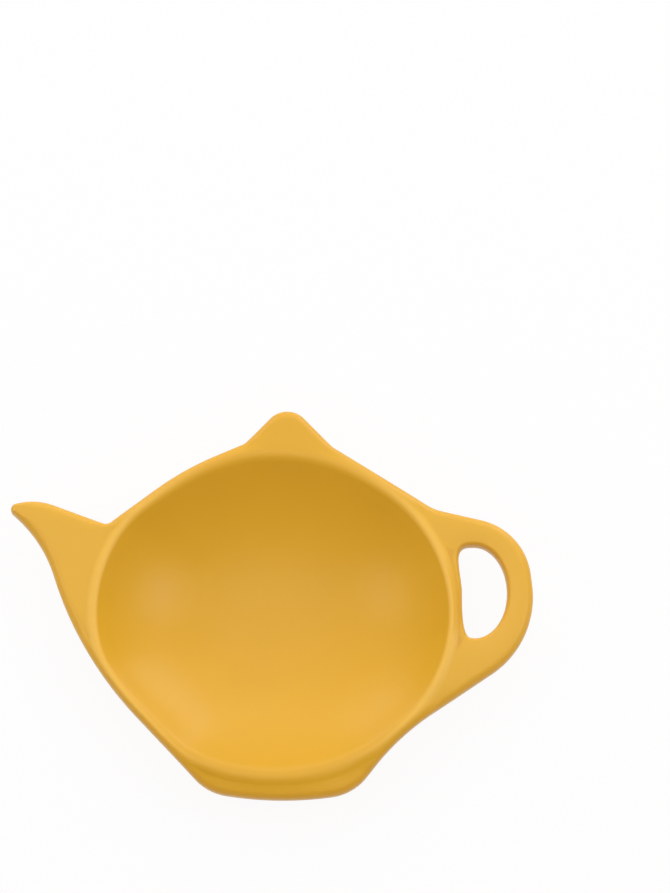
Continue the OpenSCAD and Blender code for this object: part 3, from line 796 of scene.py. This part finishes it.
def finish_piece(bm, name, node, material):
    """Sets a drawn piece in its place, hangs it on the root body, and hides the model's node that it takes the
    place of.
    """
    bmesh.ops.translate(bm, verts=bm.verts, vec=(BOWL_CENTRE.x, BOWL_CENTRE.y, 0.0))
    bmesh.ops.recalc_face_normals(bm, faces=bm.faces)
    for face in bm.faces:
        face.smooth = True
    piece = new_object(bm, name, material)
    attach(piece, "root")
    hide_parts(node)


def mark_hollows(bm):
    """Notes each vertex's hollowness: 1 over the radius of its bend in metres, and below 0 on edges."""
    bm.normal_update()
    hollow = bm.verts.layers.float.new("hollow")
    raw = {}
    for vert in bm.verts:
        bends = []
        for edge in vert.link_edges:
            way = edge.other_vert(vert).co - vert.co
            bends.append(2 * way.dot(vert.normal) / max(way.length_squared, LEAST_SQUARE))
        raw[vert] = sum(bends) / len(bends)
    for vert in bm.verts:
        near = [raw[edge.other_vert(vert)] for edge in vert.link_edges]
        vert[hollow] = (raw[vert] + sum(near) / len(near)) / 2


# Finishes

def new_material(name):
    material = bpy.data.materials.new(name)
    material.use_nodes = True
    tree = material.node_tree
    tree.nodes.clear()
    return material, tree


def add_node(tree, kind, **settings):
    """Adds a node. A setting that starts with an underscore is an attribute, i and a number is the input at
    that place, and any other is the input of that name: a socket is linked to it, and a value is set."""
    made = tree.nodes.new(kind)
    for name, value in settings.items():
        if name.startswith("_"):
            setattr(made, name[1:], value)
            continue
        by_place = name[0] == "i" and name[1:].isdigit()
        socket = made.inputs[int(name[1:]) if by_place else name.replace("_", " ")]
        if isinstance(value, bpy.types.NodeSocket):
            tree.links.new(value, socket)
        else:
            socket.default_value = value
    return made


def opaque(rgb):
    return (*rgb, 1.0)


def own_place(tree):
    return add_node(tree, "ShaderNodeTexCoord").outputs["Object"]


def noted(tree, name):
    """What the mesh notes on its vertices under a name."""
    return add_node(tree, "ShaderNodeAttribute", _attribute_name=name).outputs["Fac"]


def noise(tree, spot, pattern):
    scale, detail, roughness = pattern
    made = add_node(
        tree, "ShaderNodeTexNoise", Vector=spot, Scale=scale, Detail=detail, Roughness=roughness)
    return made.outputs["Fac"]


def ranged(tree, value, bounds, results=(0.0, 1.0), kind="LINEAR"):
    """Maps what lies between two bounds to what lies between two results, and stays there beyond them."""
    return add_node(
        tree, "ShaderNodeMapRange", _clamp=True, _interpolation_type=kind, Value=value,
        From_Min=bounds[0], From_Max=bounds[1], To_Min=results[0], To_Max=results[1]).outputs["Result"]


def mixed(tree, amount, base, finish):
    return add_node(
        tree, "ShaderNodeMix", _data_type="RGBA", i0=amount, i6=base, i7=opaque(finish)).outputs[2]


def toned(tree, base, clouds, tones):
    """A colour that clouds make a little darker and brighter."""
    tone = ranged(tree, clouds, CLOUDING, tones)
    return add_node(tree, "ShaderNodeHueSaturation", Value=tone, Color=base).outputs["Color"]


def bumped(tree, height, strength):
    return add_node(
        tree, "ShaderNodeBump", Strength=strength, Distance=BUMP_DEPTH, Height=height).outputs["Normal"]


def combined(tree, operation, first, second):
    """Two values added or multiplied, held between 0 and 1."""
    return add_node(
        tree, "ShaderNodeMath", _operation=operation, _use_clamp=True, i0=first, i1=second).outputs[0]


def satin_glaze(finishes):
    """Satin yellow glaze: deeper where it has pooled, paler where it has run thin and where the ridge's
    highlight and the flange's light are painted, with fine specks.
    """
    material, tree = new_material(GLAZE_NAME)
    spot = own_place(tree)
    hollow = noted(tree, "hollow")
    clouds = noise(tree, spot, GLAZE_CLOUDS)
    grains = noise(tree, spot, GLAZE_GRAINS)
    # Painted highlight on the rim's ridge and painted light on the flange, from what the mesh notes
    painted_light = ranged(tree, noted(tree, "thin"), PAINTED_LIGHT_BOUNDS, kind="SMOOTHSTEP")
    base = mixed(tree, ranged(tree, hollow, POOLING), opaque(finishes.glaze), finishes.pooled)
    base = mixed(tree, ranged(tree, hollow, THINNING), base, finishes.thin)
    base = mixed(tree, painted_light, base, finishes.ridge)
    base = toned(tree, base, clouds, GLAZE_TONES)
    base = mixed(tree, ranged(tree, grains, SPECKLING, SPECK_AMOUNTS), base, finishes.speck)
    rough = (finishes.roughness - SHEEN_SPREAD, finishes.roughness + SHEEN_SPREAD)
    sheen = ranged(tree, clouds, CLOUDING, rough)
    skin = bumped(tree, noise(tree, spot, GLAZE_PEEL), GLAZE_BUMP)
    glaze = add_node(
        tree, "ShaderNodeBsdfPrincipled", Base_Color=base, Roughness=sheen, Normal=skin, IOR=GLAZE_IOR)
    add_node(tree, "ShaderNodeOutputMaterial", Surface=glaze.outputs["BSDF"])
    return material


def bare_clay(finishes):
    """Dry fired clay with coarse grains."""
    material, tree = new_material("bare_fired_clay")
    spot = own_place(tree)
    grains = noise(tree, spot, CLAY_GRAINS)
    base = mixed(tree, ranged(tree, grains, GRAINING, GROG_AMOUNTS), opaque(finishes.clay), finishes.grog)
    base = toned(tree, base, noise(tree, spot, CLAY_CLOUDS), CLAY_TONES)
    skin = bumped(tree, grains, CLAY_BUMP)
    clay = add_node(
        tree, "ShaderNodeBsdfPrincipled", Base_Color=base, Normal=skin, Roughness=CLAY_ROUGHNESS)
    add_node(tree, "ShaderNodeOutputMaterial", Surface=clay.outputs["BSDF"])
    return material


def seen_directly(tree):
    """1 for rays from the camera, also by way of gloss or glass, and 0 for light on the saucer."""
    path = add_node(tree, "ShaderNodeLightPath").outputs
    direct = combined(tree, "ADD", path["Is Camera Ray"], path["Is Glossy Ray"])
    return combined(tree, "ADD", direct, path["Is Transmission Ray"])


# Operators

class SAUCER_OT_outer_glaze(bpy.types.Operator):
    """Draw the glaze over the bowl, rim, flange and outer wall"""

    bl_idname = "saucer.outer_glaze"
    bl_label = "Outer glaze"

    def execute(self, context):
        scene = context.scene
        plan = Plan(scene)
        bm = bmesh.new()
        outer = draw_skin(bm, plan, 0.0)
        inner = draw_skin(bm, plan, scene.saucer_foot.glaze_thickness)
        bmesh.ops.bridge_loops(bm, edges=outer + inner)
        bmesh.ops.recalc_face_normals(bm, faces=bm.faces)
        mark_hollows(bm)
        finish_piece(bm, "saucer_glaze", "outer_glaze", satin_glaze(scene.saucer_finishes))
        return {"FINISHED"}


class SAUCER_OT_clay_body(bpy.types.Operator):
    """Draw the clay under the glaze, with the dry foot ring that it stands on"""

    bl_idname = "saucer.clay_body"
    bl_label = "Clay body"

    def execute(self, context):
        scene = context.scene
        plan, foot = Plan(scene), scene.saucer_foot
        bm = bmesh.new()
        loop = draw_skin(bm, plan, foot.glaze_thickness)
        column = bm.verts.layers.int["column"]
        under = foot.under_height + foot.glaze_thickness
        inner = foot.radius - foot.width
        profile = (
            (foot.radius + foot.flare + FOOT_EASE, under),
            (foot.radius + foot.flare, under - FOOT_EASE),
            (foot.radius, FOOT_EASE),
            (foot.radius - FOOT_EASE, 0.0),
            (inner + FOOT_EASE, 0.0),
            (inner, FOOT_EASE),
            (inner - foot.flare, under - FOOT_EASE),
            (inner - foot.flare - FOOT_EASE, under),
            (inner * WELL_SHARE, under),
        )
        for radius, z in profile:
            loop = lay_row(bm, loop, lambda vert: at_height(plan.on_ray(vert[column], radius), z))
        bmesh.ops.edgeloop_fill(bm, edges=loop)
        finish_piece(bm, "saucer_clay", "stoneware_body", bare_clay(scene.saucer_finishes))
        return {"FINISHED"}


class SAUCER_OT_foot_glaze(bpy.types.Operator):
    """Draw the glaze inside the foot ring"""

    bl_idname = "saucer.foot_glaze"
    bl_label = "Foot glaze"

    def execute(self, context):
        scene = context.scene
        foot = scene.saucer_foot
        radius = foot.radius - foot.width - foot.flare - foot.dry_band
        bm = bmesh.new()
        bmesh.ops.create_circle(bm, cap_ends=True, segments=WELL_SIDES, radius=radius)
        grown = bmesh.ops.extrude_face_region(bm, geom=bm.faces[:])["geom"]
        bmesh.ops.translate(bm, verts=verts_of(grown), vec=(0.0, 0.0, foot.glaze_thickness))
        bmesh.ops.translate(bm, verts=bm.verts, vec=(0.0, 0.0, foot.under_height))
        middle = foot.under_height + foot.glaze_thickness / 2
        hem = [e for e in bm.edges if all(v.co.z < middle for v in e.verts)]
        bmesh.ops.bevel(
            bm, geom=hem, offset=HEM_SHARE * foot.glaze_thickness, affect="EDGES", segments=HEM_SEGMENTS,
            profile=0.5, material=-1)
        bmesh.ops.recalc_face_normals(bm, faces=bm.faces)
        mark_hollows(bm)
        material = bpy.data.materials.get(GLAZE_NAME) or satin_glaze(scene.saucer_finishes)
        finish_piece(bm, "saucer_foot_glaze", "foot_well_glaze", material)
        return {"FINISHED"}


class SAUCER_OT_stage(bpy.types.Operator):
    """Set up the pale floor, the soft studio light and the camera"""

    bl_idname = "saucer.stage"
    bl_label = "Stage"

    def execute(self, context):
        scene, stage = context.scene, context.scene.saucer_stage
        self.lay_floor(stage)
        self.hang_lamps(scene, stage)
        self.set_camera(scene, stage)
        scene.view_settings.view_transform = "Standard"
        return {"FINISHED"}

    def lay_floor(self, stage):
        material, tree = new_material("studio_floor_white")
        paper = add_node(tree, "ShaderNodeBsdfDiffuse", Color=opaque(stage.floor))
        white = add_node(tree, "ShaderNodeEmission", Color=(1.0, 1.0, 1.0, 1.0), Strength=1.0)
        lift = combined(tree, "MULTIPLY", seen_directly(tree), stage.floor_lift)
        top = add_node(
            tree, "ShaderNodeMixShader", i0=lift, i1=paper.outputs["BSDF"], i2=white.outputs["Emission"])
        add_node(tree, "ShaderNodeOutputMaterial", Surface=top.outputs["Shader"])
        bm = bmesh.new()
        bmesh.ops.create_grid(bm, x_segments=1, y_segments=1, size=stage.floor_size)
        floor = new_object(bm, "studio_floor", material)

    def hang_lamps(self, scene, stage):
        world = bpy.data.worlds.new("studio_air")
        world.use_nodes = True
        tree = world.node_tree
        tree.nodes.clear()
        air = add_node(
            tree, "ShaderNodeBackground", Color=opaque(stage.air), Strength=stage.air_strength)
        add_node(tree, "ShaderNodeOutputWorld", Surface=air.outputs["Background"])
        scene.world = world
        for name, place, width, power in LAMPS:
            lamp = bpy.data.lights.new(name, "AREA")
            lamp.shape, lamp.size, lamp.energy = "SQUARE", width, power
            stand = bpy.data.objects.new(name, lamp)
            stand.location = place
            stand.rotation_euler = (-Vector(place)).to_track_quat("-Z", "Y").to_euler()
            scene.collection.objects.link(stand)

    def set_camera(self, scene, stage):
        centre = at_height(BOWL_CENTRE, scene.saucer_bowl.rim_height)
        lens = bpy.data.cameras.new("studio_camera")
        lens.lens = lens.sensor_width * stage.distance / stage.frame_height
        camera = bpy.data.objects.new("studio_camera", lens)
        back = Vector((0.0, -math.cos(stage.elevation), math.sin(stage.elevation)))
        camera.location = centre + back * stage.distance
        aim = centre + Vector((stage.aside, stage.beyond, 0.0))
        sight = (aim - camera.location).normalized()
        across = sight.cross(Vector((0.0, 1.0, 0.0))).normalized()
        camera.rotation_euler = Matrix((across, across.cross(sight), -sight)).transposed().to_euler()
        scene.collection.objects.link(camera)
        scene.camera = camera


class SAUCER_PT_panel(bpy.types.Panel):
    """Sizes and pieces of the saucer"""

    bl_idname = "SAUCER_PT_panel"
    bl_label = "Saucer"
    bl_space_type = "VIEW_3D"
    bl_region_type = "UI"
    bl_category = "Saucer"

    def draw(self, context):
        for title, name, _ in GROUPS:
            box = self.layout.box()
            box.label(text=title)
            group = getattr(context.scene, name)
            for prop in group.bl_rna.properties:
                if prop.identifier not in {"rna_type", "name"}:
                    box.prop(group, prop.identifier)
        for operator in OPERATORS:
            self.layout.operator(operator.bl_idname)


GROUPS = (
    ("Bowl", "saucer_bowl", BowlSizes),
    ("Flange", "saucer_flange", FlangeSizes),
    ("Handle eye", "saucer_eye", EyeSizes),
    ("Foot", "saucer_foot", FootSizes),
    ("Finishes", "saucer_finishes", Finishes),
    ("Stage", "saucer_stage", StageSizes),
)
OPERATORS = (SAUCER_OT_outer_glaze, SAUCER_OT_clay_body, SAUCER_OT_foot_glaze, SAUCER_OT_stage)
CLASSES = (*(group for _, _, group in GROUPS), *OPERATORS, SAUCER_PT_panel)


def register():
    for cls in CLASSES:
        bpy.utils.register_class(cls)
    for _, name, group in GROUPS:
        setattr(bpy.types.Scene, name, PointerProperty(type=group))


def unregister():
    for _, name, _ in GROUPS:
        delattr(bpy.types.Scene, name)
    for cls in reversed(CLASSES):
        bpy.utils.unregister_class(cls)


def main():
    register()
    bpy.ops.saucer.outer_glaze()
    bpy.ops.saucer.clay_body()
    bpy.ops.saucer.foot_glaze()
    bpy.ops.saucer.stage()


if __name__ == "__main__":
    main()
